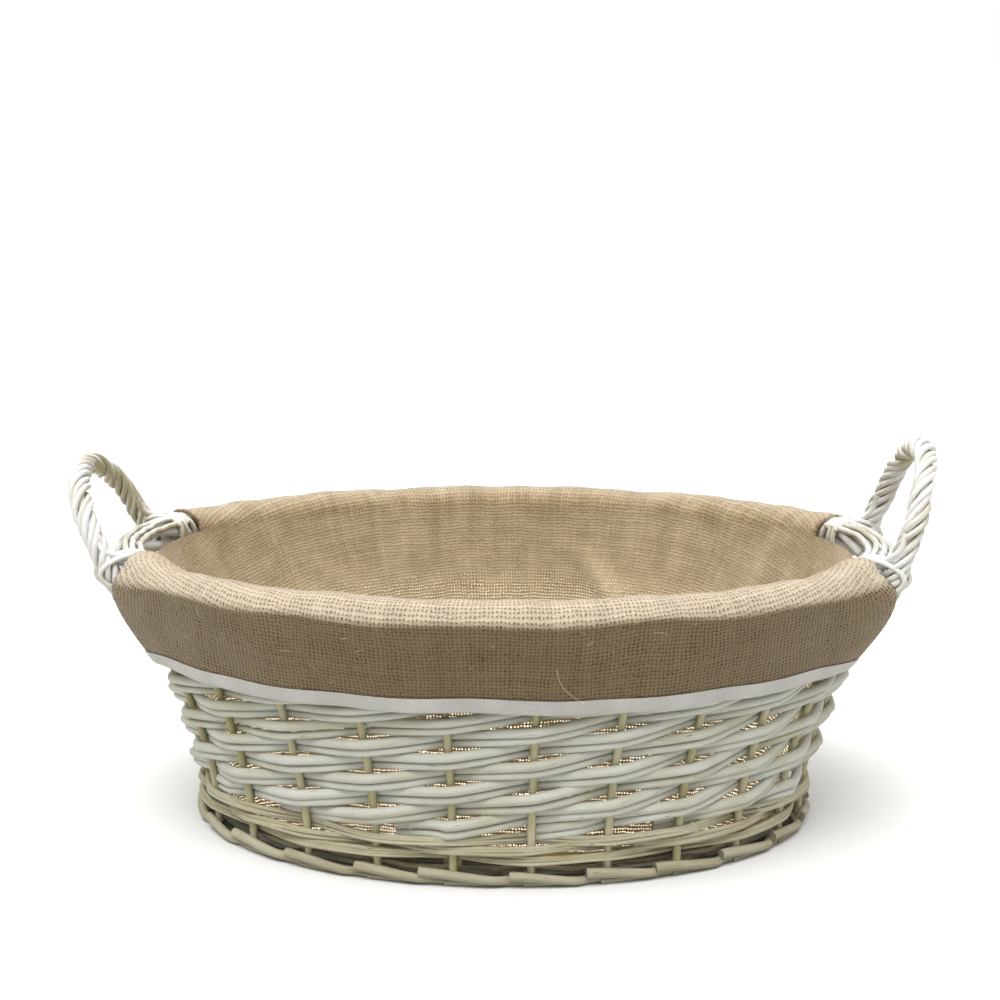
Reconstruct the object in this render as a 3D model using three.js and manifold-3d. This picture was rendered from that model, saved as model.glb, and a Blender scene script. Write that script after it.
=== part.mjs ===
// Oval wicker bread basket with two rope handles and a lift-out hessian liner.
// Millimetres, +Z up, origin at the middle of the foot, on the surface it stands on.
// +X runs along the basket from handle to handle, +Y across it.
import * as THREE from 'three';
import { mergeVertices } from 'three/addons/utils/BufferGeometryUtils.js';
import Module from 'manifold-3d';

// ---- driving dimensions ----
const FOOT_HALF_LENGTH = 183.5;      // stake line at the foot, along X
const FOOT_HALF_WIDTH = 134;         // stake line at the foot, along Y
const FLARE_LENGTH = 35.5;           // how far each end leans out at the rim
const FLARE_WIDTH = 18;              // how far each side leans out at the rim
const FLARE_POWER = 1.3;             // keeps the lower wall steep
const RIM_HEIGHT = 161;              // middle of the top border
const CLEARANCE = 0.4;               // gap between pieces that touch
const BAND_CLEARANCE = 0.8;          // gap between a stake and the bands that bend past it

const STAKES = 24;
const STAKE_RADIUS = 2.3;
const FIRST_STAKE = -98.8;           // degrees round the oval
const STAKE_DRIFT = 2.6;             // hand-set stakes are not quite even, degrees
const DRIFT_PHASE = 128.3;

const STRANDS = 14;                  // pairs of rods that climb round the wall
const COURSE = 10.5;                 // height from one pair to the next
const STRAND_HEIGHT = 9.5;
const STRAND_THICKNESS = 4.4;
const FIRST_COURSE = 20;             // height of strand 0 where it passes stake 1
const WEAVE_FOOT = 34.8;             // middle of a strand where it starts
const WEAVE_TOP = 146.5;             // middle of a strand where it ends

const WALE_RINGS = 3;
const WALE_FOOT = 16.6;
const WALE_PITCH = 5.2;
const WALE_HEIGHT = 4.8;
const WALE_THICKNESS = 3.8;

const FOOT_HEIGHT = 14;
const FOOT_INSIDE = -6;
const FOOT_OUTSIDE = 6.5;
const FOOT_CHAMFER = 1.6;

const BORDER_RADIUS = 8.5;
const BORDER_OUT = 5;                // the border lies just outside the stake line

const HANDLE_RADIUS = 7;
const HANDLE_LASH_RADIUS = 3.4;
const HANDLE_HALF_SPAN = 53;         // where the rope crosses the border, along Y
const HANDLES = {                    // the two are bent by hand and lean differently
  left: { side: -1, rise: 58, lean: 26, roundness: 0.95 },
  right: { side: 1, rise: 68, lean: 18, roundness: 0.85 },
};
const HANDLE_GAP = 1;                // between the rope and the border
const HANDLE_TAIL_Z = 143;           // where the rope ends, beside the wall
const HANDLE_TAIL_OUT = 16;          // from the stake line

const CLOTH = 1.4;
const LINER_OUT = -9.1;              // outer face of the liner, from the stake line
const CUFF_GAP = 1;
const CUFF_START = 27;               // degrees from the end of the oval to a cuff's edge
const CUFF_DROP = 115;               // lower edge of the cuff
const CUFF_HANG_LENGTH = 10.4;       // inner face at the drop, from the stake line, at the ends
const CUFF_HANG_WIDTH = 9.2;         // and at the sides
const HEM_DROP = 106.6;
const HEM_CLOTH = 1.8;

const BASE_TOP = 13.8;
const BASE_THICKNESS = 2.8;
const BASE_INSIDE = FOOT_INSIDE - CLEARANCE;
const CROSS_STICKS = [-118, -59, 0, 59, 118];
const LONG_STICKS = [-44, 44];
const CROSS_STICK_Z = 3.7;
const LONG_STICK_Z = 8.4;
const STICK_RADIUS = 2.2;

const ROUND_STEPS = 48;
const CUFF_STEPS = 26;
const radians = THREE.MathUtils.degToRad;

// ---- colours ----
const FINISHES = {
  whitewash: { color: 0xd6d2c4, roughness: 0.75, metalness: 0 },
  stake: { color: 0xa89f6c, roughness: 0.7, metalness: 0 },
  natural: { color: 0xb5a77f, roughness: 0.75, metalness: 0 },
  hessian: { color: 0xb8935f, roughness: 0.95, metalness: 0 },
  tape: { color: 0xd2cdc4, roughness: 0.9, metalness: 0 },
};

const wasm = await Module();
wasm.setup();
const basket = new THREE.Group();

function add(name, geometry, finish) {
  const mesh = new THREE.Mesh(geometry, new THREE.MeshStandardMaterial(FINISHES[finish]));
  mesh.name = name;
  basket.add(mesh);
}

// ---- the shape of the wall ----
function flare(z) {
  const t = THREE.MathUtils.clamp(z / RIM_HEIGHT, 0, 1);
  return Math.pow(t * t * (3 - 2 * t), FLARE_POWER);
}

// Half-axes of the oval at height z, moved out by off.
function oval(z, off = 0) {
  const length = FOOT_HALF_LENGTH + FLARE_LENGTH * flare(z) + off;
  const width = FOOT_HALF_WIDTH + FLARE_WIDTH * flare(z) + off;
  return { length, width, z };
}

function onOval({ length, width, z }, angle) {
  return new THREE.Vector3(length * Math.cos(angle), width * Math.sin(angle), z);
}

// Angle of stake number u; fractions lie between two stakes.
function stakeAngle(u) {
  const even = FIRST_STAKE + (360 / STAKES) * u;
  return radians(even + STAKE_DRIFT * Math.cos(2 * radians(even + DRIFT_PHASE)));
}

// ---- closed bodies from a row of matching outlines ----
function signedVolume(points, triangles) {
  let volume = 0;
  for (let i = 0; i < triangles.length; i += 3) {
    const [a, b, c] = [points[triangles[i]], points[triangles[i + 1]], points[triangles[i + 2]]];
    volume += a.dot(new THREE.Vector3().crossVectors(b, c)) / 6;
  }
  return volume;
}

function loft(outlines, isRing) {
  const count = outlines[0].length;
  const points = outlines.flat();
  const triangles = [];
  const spans = isRing ? outlines.length : outlines.length - 1;
  for (let i = 0; i < spans; i += 1) {
    const next = (i + 1) % outlines.length;
    for (let j = 0; j < count; j += 1) {
      const k = (j + 1) % count;
      const [a, b, c, d] = [i * count + j, i * count + k, next * count + k, next * count + j];
      triangles.push(a, b, c, a, c, d);
    }
  }
  if (!isRing) {
    const last = (outlines.length - 1) * count;
    const outline = capOrder(outlines[0]);
    for (const [a, b, c] of outline) {
      triangles.push(a, c, b, last + a, last + b, last + c);
    }
  }
  if (signedVolume(points, triangles) < 0) {
    triangles.reverse();
  }
  const geometry = new THREE.BufferGeometry().setFromPoints(points);
  geometry.setIndex(triangles);
  geometry.computeVertexNormals();
  return geometry;
}

// Triangles that fill an end outline, found in the outline's own plane.
function capOrder(outline) {
  const middle = outline.reduce((sum, p) => sum.add(p), new THREE.Vector3());
  middle.divideScalar(outline.length);
  const across = new THREE.Vector3().subVectors(outline[0], middle).normalize();
  const normal = new THREE.Vector3();
  outline.forEach((p, i) => {
    const q = outline[(i + 1) % outline.length];
    normal.add(new THREE.Vector3().crossVectors(
      new THREE.Vector3().subVectors(p, middle), new THREE.Vector3().subVectors(q, middle)));
  });
  const up = new THREE.Vector3().crossVectors(normal.normalize(), across);
  const flat = outline.map((p) => {
    const d = new THREE.Vector3().subVectors(p, middle);
    return new THREE.Vector2(d.dot(across), d.dot(up));
  });
  return THREE.ShapeUtils.triangulateShape(flat, []);
}

// A profile of ovals, swept all the way round or between two angles.
function roundTheOval(profile, steps, from = 0, to = 2 * Math.PI, isRing = true) {
  const outlines = [];
  const stations = isRing ? steps : steps + 1;
  for (let i = 0; i < stations; i += 1) {
    const angle = from + ((to - from) * i) / steps;
    outlines.push(profile.map((o) => onOval(o, angle)));
  }
  return loft(outlines, isRing);
}

// One flat band that passes in front of and behind the stakes.
// path(u) gives its height and its place in or out at stake number u.
function weaveBand(stations, path, height, thickness, isRing) {
  const outlines = stations.map((u) => {
    const { z, off } = path(u);
    const angle = stakeAngle(u);
    const corners = [[1, 1], [1, -1], [-1, -1], [-1, 1]];
    return corners.map(([up, out]) => {
      return onOval(oval(z + (up * height) / 2, off + (out * thickness) / 2), angle);
    });
  });
  return loft(outlines, isRing);
}

const STRAIGHT = 0.13;               // share of a stake's spacing where a band runs flat past it

// The band's side at each stake is one of a repeating list, and it crosses over between them.
function passing(u, sideAt, reach) {
  const stake = Math.floor(u);
  const share = u - stake;
  const [here, next] = [sideAt(stake), sideAt(stake + 1)];
  const t = THREE.MathUtils.clamp((share - STRAIGHT) / (1 - 2 * STRAIGHT), 0, 1);
  return reach * (here + (next - here) * t);
}

function stationsBetween(from, to) {
  const stations = [from];
  for (let stake = Math.floor(from); stake <= Math.ceil(to); stake += 1) {
    for (const u of [stake - STRAIGHT, stake + STRAIGHT]) {
      if (u > from + 0.05 && u < to - 0.05) {
        stations.push(u);
      }
    }
  }
  stations.push(to);
  return stations;
}

// ---- foot and base ----
function footBorder() {
  const [inside, outside, chamfer, top] = [FOOT_INSIDE, FOOT_OUTSIDE, FOOT_CHAMFER, FOOT_HEIGHT];
  const outline = [
    [inside + chamfer, 0], [outside - chamfer, 0], [outside, chamfer], [outside, top - chamfer],
    [outside - chamfer, top], [inside, top], [inside, chamfer],
  ];
  const profile = outline.map(([off, z]) => ({ ...oval(0, off), z }));
  return roundTheOval(profile, ROUND_STEPS);
}

function ovalPlate(off, bottom, thickness) {
  const { length, width } = oval(0, off);
  const shape = new THREE.Shape();
  shape.absellipse(0, 0, length, width, 0, 2 * Math.PI);
  const options = { depth: thickness, bevelEnabled: false, curveSegments: ROUND_STEPS / 2 };
  return new THREE.ExtrudeGeometry(shape, options).translate(0, 0, bottom);
}

// A straight stick across the base, from one side of the foot to the other.
function baseStick(place, isLong) {
  const { length, width } = oval(0, BASE_INSIDE - CLEARANCE);
  const [along, across] = isLong ? [length, width] : [width, length];
  const half = along * Math.sqrt(1 - (Math.abs(place) + STICK_RADIUS) ** 2 / across ** 2);
  const stick = new THREE.CylinderGeometry(STICK_RADIUS, STICK_RADIUS, 2 * half, 8);
  if (isLong) {
    return stick.rotateZ(Math.PI / 2).translate(0, place, LONG_STICK_Z);
  }
  return stick.translate(place, 0, CROSS_STICK_Z);
}

// ---- stakes, wale and weave ----
function rodAlong(curve, radius, steps, sides) {
  const section = new THREE.Shape();
  section.absarc(0, 0, radius, 0, 2 * Math.PI);
  const options = { steps, extrudePath: curve, curveSegments: sides / 2, bevelEnabled: false };
  return new THREE.ExtrudeGeometry(section, options);
}

function stake(number) {
  const angle = stakeAngle(number);
  const bottom = FOOT_HEIGHT + CLEARANCE;
  const top = RIM_HEIGHT - BORDER_RADIUS - CLEARANCE;
  const points = [0, 0.25, 0.5, 0.75, 1].map((t) => {
    return onOval(oval(bottom + (top - bottom) * t), angle);
  });
  return rodAlong(new THREE.CatmullRomCurve3(points), STAKE_RADIUS, 7, 6);
}

// Each wale ring runs in front of two stakes and behind the third.
function waleRing(ring) {
  const z = WALE_FOOT + WALE_PITCH * ring;
  const reach = STAKE_RADIUS + BAND_CLEARANCE + WALE_THICKNESS / 2;
  const sideAt = (number) => ((number + ring) % 3 === 0 ? -1 : 1);
  const stations = stationsBetween(0, STAKES).slice(1, -1);
  const path = (u) => ({ z, off: passing(u, sideAt, reach) });
  return weaveBand(stations, path, WALE_HEIGHT, WALE_THICKNESS, true);
}

// Each strand is a pair of rods that climbs to the right as it goes in front of one
// stake and behind the next.
function weaveStrand(strand) {
  const climb = (COURSE * STRANDS) / STAKES;
  const heightAt = (u) => FIRST_COURSE + COURSE * strand + climb * (u - 1);
  const from = 1 + (WEAVE_FOOT - FIRST_COURSE - COURSE * strand) / climb;
  const to = from + (WEAVE_TOP - WEAVE_FOOT) / climb;
  const reach = STAKE_RADIUS + BAND_CLEARANCE + STRAND_THICKNESS / 2;
  const sideAt = (number) => ((number + strand) % 2 === 0 ? 1 : -1);
  const path = (u) => ({ z: heightAt(u), off: passing(u, sideAt, reach) });
  return weaveBand(stationsBetween(from, to), path, STRAND_HEIGHT, STRAND_THICKNESS, false);
}

// ---- top border ----
// A point on a circle of the given radius round the border; 0 degrees is outside, 90 on top.
function roundBorder(radius, degrees) {
  const angle = radians(degrees);
  const place = oval(RIM_HEIGHT, BORDER_OUT + radius * Math.cos(angle));
  place.z = RIM_HEIGHT + radius * Math.sin(angle);
  return place;
}

function topBorder() {
  const profile = [];
  for (let degrees = 0; degrees < 360; degrees += 40) {
    profile.push(roundBorder(BORDER_RADIUS, degrees));
  }
  return roundTheOval(profile, ROUND_STEPS);
}

// ---- handles ----
function asSolid(geometry) {
  const bare = geometry.clone();
  bare.deleteAttribute('normal');
  bare.deleteAttribute('uv');
  const merged = mergeVertices(bare, 1e-4);
  return new wasm.Manifold(new wasm.Mesh({
    numProp: 3,
    vertProperties: new Float32Array(merged.attributes.position.array),
    triVerts: new Uint32Array(merged.index.array),
  }));
}

function asGeometry(solid) {
  const { vertProperties, triVerts } = solid.getMesh();
  const geometry = new THREE.BufferGeometry();
  geometry.setAttribute('position', new THREE.BufferAttribute(vertProperties, 3));
  geometry.setIndex(new THREE.BufferAttribute(triVerts, 1));
  geometry.computeVertexNormals();
  return geometry;
}

// The rope rises outside the border, leans outwards and comes down outside it again.
function handleRoute({ side, rise, lean, roundness }) {
  const footAngle = Math.asin(HANDLE_HALF_SPAN / oval(RIM_HEIGHT, BORDER_OUT).width);
  const reach = BORDER_RADIUS + HANDLE_GAP + HANDLE_RADIUS;
  const foot = onOval(roundBorder(reach, 0), footAngle);
  const tail = onOval(oval(HANDLE_TAIL_Z, HANDLE_TAIL_OUT), footAngle);
  const arch = [];
  for (let i = 0; i <= 12; i += 1) {
    const turn = (Math.PI * i) / 12;
    const across = -foot.y * Math.sign(Math.cos(turn)) * Math.abs(Math.cos(turn)) ** roundness;
    const up = rise * Math.sin(turn) ** roundness;
    const x = foot.x + up * Math.sin(radians(lean));
    arch.push(new THREE.Vector3(side * x, across, foot.z + up * Math.cos(radians(lean))));
  }
  const first = new THREE.Vector3(side * tail.x, -tail.y, tail.z);
  const last = new THREE.Vector3(side * tail.x, tail.y, tail.z);
  return { points: [first, ...arch, last], footAngle };
}

// A lashing that ties a leg of the rope over the top of the border.
function lashing(side, end, footAngle) {
  const reach = BORDER_RADIUS + HANDLE_GAP + HANDLE_LASH_RADIUS;
  const points = [0, 30, 60, 90, 120].map((degrees) => {
    const p = onOval(roundBorder(reach, degrees), footAngle);
    return new THREE.Vector3(side * p.x, end * p.y, p.z);
  });
  return rodAlong(new THREE.CatmullRomCurve3(points), HANDLE_LASH_RADIUS, 8, 6);
}

function handle(shape) {
  const { points, footAngle } = handleRoute(shape);
  let solid = asSolid(rodAlong(new THREE.CatmullRomCurve3(points), HANDLE_RADIUS, 36, 8));
  for (const end of [-1, 1]) {
    solid = solid.add(asSolid(lashing(shape.side, end, footAngle)));
  }
  return asGeometry(solid);
}

// ---- liner ----
function linerWall() {
  const bottom = BASE_TOP + 2 * CLEARANCE + CLOTH;
  const heights = [bottom, 40, 65, 90, 115, 145];
  const outer = heights.map((z) => oval(z, LINER_OUT));
  const inner = heights.map((z) => oval(z, LINER_OUT - CLOTH));
  const lip = BORDER_OUT - BORDER_RADIUS - CUFF_GAP;
  outer.push(oval(RIM_HEIGHT - CLEARANCE, lip));
  inner.push(oval(RIM_HEIGHT - CLEARANCE, lip - CLOTH));
  return roundTheOval([...outer, ...inner.reverse()], ROUND_STEPS);
}

// How far the hanging cloth stands from the stake line at its lower edges.
function hang(z, extra) {
  const base = oval(CUFF_DROP);
  const rim = roundBorder(BORDER_RADIUS + CUFF_GAP + extra, 0);
  const low = { length: base.length + CUFF_HANG_LENGTH + extra, width: base.width + CUFF_HANG_WIDTH + extra };
  const t = (z - CUFF_DROP) / (RIM_HEIGHT - CUFF_DROP);
  const length = THREE.MathUtils.lerp(low.length, rim.length, t);
  const width = THREE.MathUtils.lerp(low.width, rim.width, t);
  return { length, width, z };
}

function cuff(from, to) {
  const outer = [hang(CUFF_DROP + CLEARANCE, CLOTH)];
  const inner = [hang(CUFF_DROP + CLEARANCE, 0)];
  for (let degrees = 0; degrees <= 180; degrees += 30) {
    outer.push(roundBorder(BORDER_RADIUS + CUFF_GAP + CLOTH, degrees));
    inner.push(roundBorder(BORDER_RADIUS + CUFF_GAP, degrees));
  }
  const profile = [...outer, ...inner.reverse()];
  return roundTheOval(profile, CUFF_STEPS, radians(from), radians(to), false);
}

function hemTape(from, to) {
  const profile = [
    hang(CUFF_DROP, 0), hang(CUFF_DROP, HEM_CLOTH), hang(HEM_DROP, HEM_CLOTH), hang(HEM_DROP, 0),
  ];
  return roundTheOval(profile, CUFF_STEPS, radians(from), radians(to), false);
}

// ---- assembly, from the foot up ----
add('foot_border', footBorder(), 'natural');
CROSS_STICKS.forEach((x, i) => add(`base_cross_stick_${i + 1}`, baseStick(x, false), 'natural'));
LONG_STICKS.forEach((y, i) => add(`base_long_stick_${i + 1}`, baseStick(y, true), 'natural'));
add('base_weave', ovalPlate(BASE_INSIDE, BASE_TOP - BASE_THICKNESS, BASE_THICKNESS), 'natural');
for (let i = 0; i < STAKES; i += 1) {
  add(`stake_${String(i + 1).padStart(2, '0')}`, stake(i), 'stake');
}
for (let i = 0; i < WALE_RINGS; i += 1) {
  add(`wale_${i + 1}`, waleRing(i), 'natural');
}
for (let i = 0; i < STRANDS; i += 1) {
  add(`weaver_pair_${String(i + 1).padStart(2, '0')}`, weaveStrand(i), 'whitewash');
}
add('top_border', topBorder(), 'whitewash');
add('handle_left', handle(HANDLES.left), 'whitewash');
add('handle_right', handle(HANDLES.right), 'whitewash');
add('liner_floor', ovalPlate(LINER_OUT, BASE_TOP + CLEARANCE, CLOTH), 'hessian');
add('liner_wall', linerWall(), 'hessian');
add('cuff_front', cuff(-180 + CUFF_START, -CUFF_START), 'hessian');
add('cuff_back', cuff(CUFF_START, 180 - CUFF_START), 'hessian');
add('hem_tape_front', hemTape(-180 + CUFF_START, -CUFF_START), 'tape');
add('hem_tape_back', hemTape(CUFF_START, 180 - CUFF_START), 'tape');

export default basket;
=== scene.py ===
"""An oval bread basket, woven from whitewashed willow, with two rope handles and a hessian
liner folded over the rim. The sections follow the basket as a weaver makes it, from the base up.
Metres, +Z up, +X from the left handle to the right one, +Y towards the back."""
import math

import bpy
import numpy as np
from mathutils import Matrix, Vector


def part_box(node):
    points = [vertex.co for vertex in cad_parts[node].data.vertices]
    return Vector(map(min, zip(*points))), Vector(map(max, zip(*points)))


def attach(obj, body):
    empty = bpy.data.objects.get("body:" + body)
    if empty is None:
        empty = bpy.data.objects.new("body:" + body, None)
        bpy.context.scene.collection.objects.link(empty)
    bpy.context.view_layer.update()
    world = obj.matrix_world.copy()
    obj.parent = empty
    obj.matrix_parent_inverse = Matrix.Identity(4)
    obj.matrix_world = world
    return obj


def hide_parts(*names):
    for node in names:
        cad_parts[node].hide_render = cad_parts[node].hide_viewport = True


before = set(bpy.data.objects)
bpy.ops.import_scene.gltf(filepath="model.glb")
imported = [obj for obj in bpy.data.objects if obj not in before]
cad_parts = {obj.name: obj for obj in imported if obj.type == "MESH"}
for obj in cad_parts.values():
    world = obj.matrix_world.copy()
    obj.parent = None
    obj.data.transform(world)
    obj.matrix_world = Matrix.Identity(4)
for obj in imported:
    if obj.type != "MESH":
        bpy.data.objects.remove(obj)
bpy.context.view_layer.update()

bpy.ops.object.select_all(action="DESELECT")


# -------------------------------- studio
# A wide pale floor in air that is brightest overhead, one big softbox above, and the camera at
# table height, looking slightly down at the long side of the basket.
FLOOR_WIDTH = 60
FLOOR_GREY = (0.72, 0.72, 0.72, 1)
FLOOR_BOUNCE = (0.6, 0.6, 0.585, 1)  # what the floor gives back to the basket above it
SKY_WHITE = (1, 0.99, 0.97, 1)
SKY_FOCUS = 2.0                      # how narrow the bright part of the air overhead is
SKY_TOP = 1.5
SKY_EDGE = 0.5
SOFTBOX = 2.55
SOFTBOX_PLACE = (-0.15, -0.5, 1.5)
SOFTBOX_LEAN = (math.radians(20), math.radians(-8), 0)
SOFTBOX_WIDTH = math.radians(46)
CAMERA_PLACE = (0.0395, -1.205, 0.439)
CAMERA_TILT = math.radians(90 - 16.03)
CAMERA_TURN = 0.034
CAMERA_LENS = 73.6
CAMERA_SHIFT = (-0.001, 0.162)


def new_material(name):
    material = bpy.data.materials.new(name)
    material.use_nodes = True
    tree = material.node_tree
    return material, tree, tree.nodes["Principled BSDF"], tree.nodes["Material Output"]


def add_node(tree, kind, inputs=None, **settings):
    """A shader node with its settings, and its inputs set to numbers or linked to sockets."""
    made = tree.nodes.new(kind)
    for key, value in settings.items():
        setattr(made, key, value)
    for key, value in (inputs or {}).items():
        if isinstance(value, bpy.types.NodeSocket):
            tree.links.new(value, made.inputs[key])
        else:
            made.inputs[key].default_value = value
    return made


def arithmetic(tree):
    """Gives a function that adds one step of arithmetic, on numbers and sockets, to a tree."""
    def sum_up(operation, *values, **settings):
        return add_node(tree, "ShaderNodeMath", dict(enumerate(values)),
                        operation=operation, **settings).outputs[0]
    return sum_up


def mix_colours(tree, factor, first, second, kind="MIX"):
    return add_node(tree, "ShaderNodeMix", {0: factor, 6: first, 7: second},
                    data_type="RGBA", blend_type=kind).outputs[2]


bpy.ops.mesh.primitive_plane_add(size=FLOOR_WIDTH)
floor = bpy.context.object
floor.name = "studio_floor"
floor_paint, tree, shader, output = new_material("floor_paint")
shader.inputs["Base Color"].default_value = FLOOR_GREY
shader.inputs["Roughness"].default_value = 0.9
dim = add_node(tree, "ShaderNodeBsdfDiffuse", {"Color": FLOOR_BOUNCE})
path = add_node(tree, "ShaderNodeLightPath")
mix = add_node(tree, "ShaderNodeMixShader", {0: path.outputs["Is Diffuse Ray"],
                                             1: shader.outputs[0], 2: dim.outputs[0]})
tree.links.new(mix.outputs[0], output.inputs["Surface"])
floor.data.materials.append(floor_paint)

world = bpy.data.worlds.new("studio_air")
world.use_nodes = True
bpy.context.scene.world = world
tree = world.node_tree
sky = tree.nodes["Background"]
sky.inputs["Color"].default_value = SKY_WHITE
upward = add_node(tree, "ShaderNodeSeparateXYZ", {
    0: add_node(tree, "ShaderNodeTexCoord").outputs["Generated"]}).outputs["Z"]
sum_up = arithmetic(tree)
overhead = sum_up("POWER", sum_up("MAXIMUM", upward, 0.0), SKY_FOCUS)
tree.links.new(sum_up("MULTIPLY_ADD", overhead, SKY_TOP, SKY_EDGE), sky.inputs["Strength"])
seen = add_node(tree, "ShaderNodeBackground", {"Color": (1, 1, 1, 1), "Strength": 1})
path = add_node(tree, "ShaderNodeLightPath")
mix = add_node(tree, "ShaderNodeMixShader", {0: path.outputs["Is Camera Ray"],
                                             1: sky.outputs[0], 2: seen.outputs[0]})
tree.links.new(mix.outputs[0], tree.nodes["World Output"].inputs["Surface"])

bpy.ops.object.light_add(type="SUN", location=SOFTBOX_PLACE, rotation=SOFTBOX_LEAN)
lamp = bpy.context.object
lamp.name = "softbox"
lamp.data.angle = SOFTBOX_WIDTH
lamp.data.energy = SOFTBOX

bpy.ops.object.camera_add(location=CAMERA_PLACE, rotation=(CAMERA_TILT, 0, CAMERA_TURN))
camera = bpy.context.object
camera.data.lens = CAMERA_LENS
camera.data.shift_x, camera.data.shift_y = CAMERA_SHIFT
bpy.context.scene.camera = camera
bpy.context.scene.view_settings.view_transform = "Standard"


# -------------------------------- base
# The oval bottom: five willow sticks across and two along, with thin rods woven round and
# round, over one stick and under the next. It sits inside the foot border, off the table.
MM = 0.001                           # sizes are written in millimetres and kept in metres
FOOT_WALL_OUT = 6.5 * MM             # from the stake line to the outside of the foot
BORDER_RADIUS = 8.5 * MM
BORDER_OUT = 5 * MM                  # from the stake line to the middle of the border
FLARE_POWER = 1.3
BASE_STICKS = [("base_cross_stick_%d", 5, 0), ("base_long_stick_%d", 2, 1)]
STICK_RADIUS = 2.4 * MM
ROUND_PITCH = 3.5 * MM
ROUND_RADIUS = 1.7 * MM
ROUND_MIDDLE = 8.2 * MM              # height of the woven rounds' middle
ROUND_WAVE = 2.6 * MM                # how far they rise and dip over and under the sticks
ROUND_WAVES = 12
PAINTED_SHADE_TONE = -4                     # tone that turns the rods inside the foot near-black, as painted shade

foot_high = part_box("foot_border")[1]
border_low, border_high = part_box("top_border")
FOOT_LENGTH = foot_high.x - FOOT_WALL_OUT          # half-axes of the stake line at the foot
FOOT_WIDTH = foot_high.y - FOOT_WALL_OUT
RIM_Z = (border_low.z + border_high.z) / 2
RIM_LENGTH = border_high.x - BORDER_RADIUS - BORDER_OUT
RIM_WIDTH = border_high.y - BORDER_RADIUS - BORDER_OUT
chance = np.random.default_rng(24)


def flare(z):
    """How far the wall has opened at height z, from 0 at the foot to 1 at the rim."""
    t = np.clip(np.asarray(z, float) / RIM_Z, 0, 1)
    return (t * t * (3 - 2 * t)) ** FLARE_POWER


def on_wall(angle, z, off=0.0, level=None):
    """A point on the oval of the stake line at height z, moved out by off; level, where it is
    given, is the point's own height."""
    length = FOOT_LENGTH + (RIM_LENGTH - FOOT_LENGTH) * flare(z) + off
    width = FOOT_WIDTH + (RIM_WIDTH - FOOT_WIDTH) * flare(z) + off
    height = np.asarray(z if level is None else level, float) + 0 * np.asarray(angle)
    return np.stack(np.broadcast_arrays(length * np.cos(angle), width * np.sin(angle), height), -1)


def wander(count, size, waves=5):
    """A slow random drift along a rod, for bends that no two willow rods share."""
    t = np.linspace(0, 1, count)
    drift = np.zeros(count)
    for wave in range(1, waves + 1):
        drift += chance.normal() * np.sin(math.tau * (wave * t * 1.7 + chance.random())) / wave
    return size * drift


def ripple(angle, waves, seed):
    """A smooth random wave round the basket, from -1 to 1 or so, that meets itself."""
    dice = np.random.default_rng(seed)
    total = 0 * angle
    for wave in waves:
        total = total + dice.normal() * np.cos(wave * angle + math.tau * dice.random())
    return total / math.sqrt(len(waves))


def ease(value):
    """Softens both ends of a change from 0 to 1."""
    value = np.clip(value, 0, 1)
    return value * value * (3 - 2 * value)


def rod_frames(points):
    """Two directions across the rod at each point, carried along it without twist."""
    along = np.gradient(points, axis=0)
    along /= np.linalg.norm(along, axis=1)[:, None]
    side = np.cross(along[0], (0, 0, 1) if abs(along[0][2]) < 0.9 else (1, 0, 0))
    sides = []
    for direction in along:
        side = side - direction * side.dot(direction)
        side = side / np.linalg.norm(side)
        sides.append(side)
    sides = np.array(sides)
    return sides, np.cross(along, sides)


def start_editing(name, mesh):
    """Puts a new mesh in the scene and opens it for editing, with all of it selected."""
    made = bpy.data.objects.new(name, mesh)
    bpy.context.scene.collection.objects.link(made)
    bpy.ops.object.select_all(action="DESELECT")
    made.select_set(True)
    bpy.context.view_layer.objects.active = made
    bpy.ops.object.mode_set(mode="EDIT")
    bpy.ops.mesh.select_all(action="SELECT")
    return made


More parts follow.
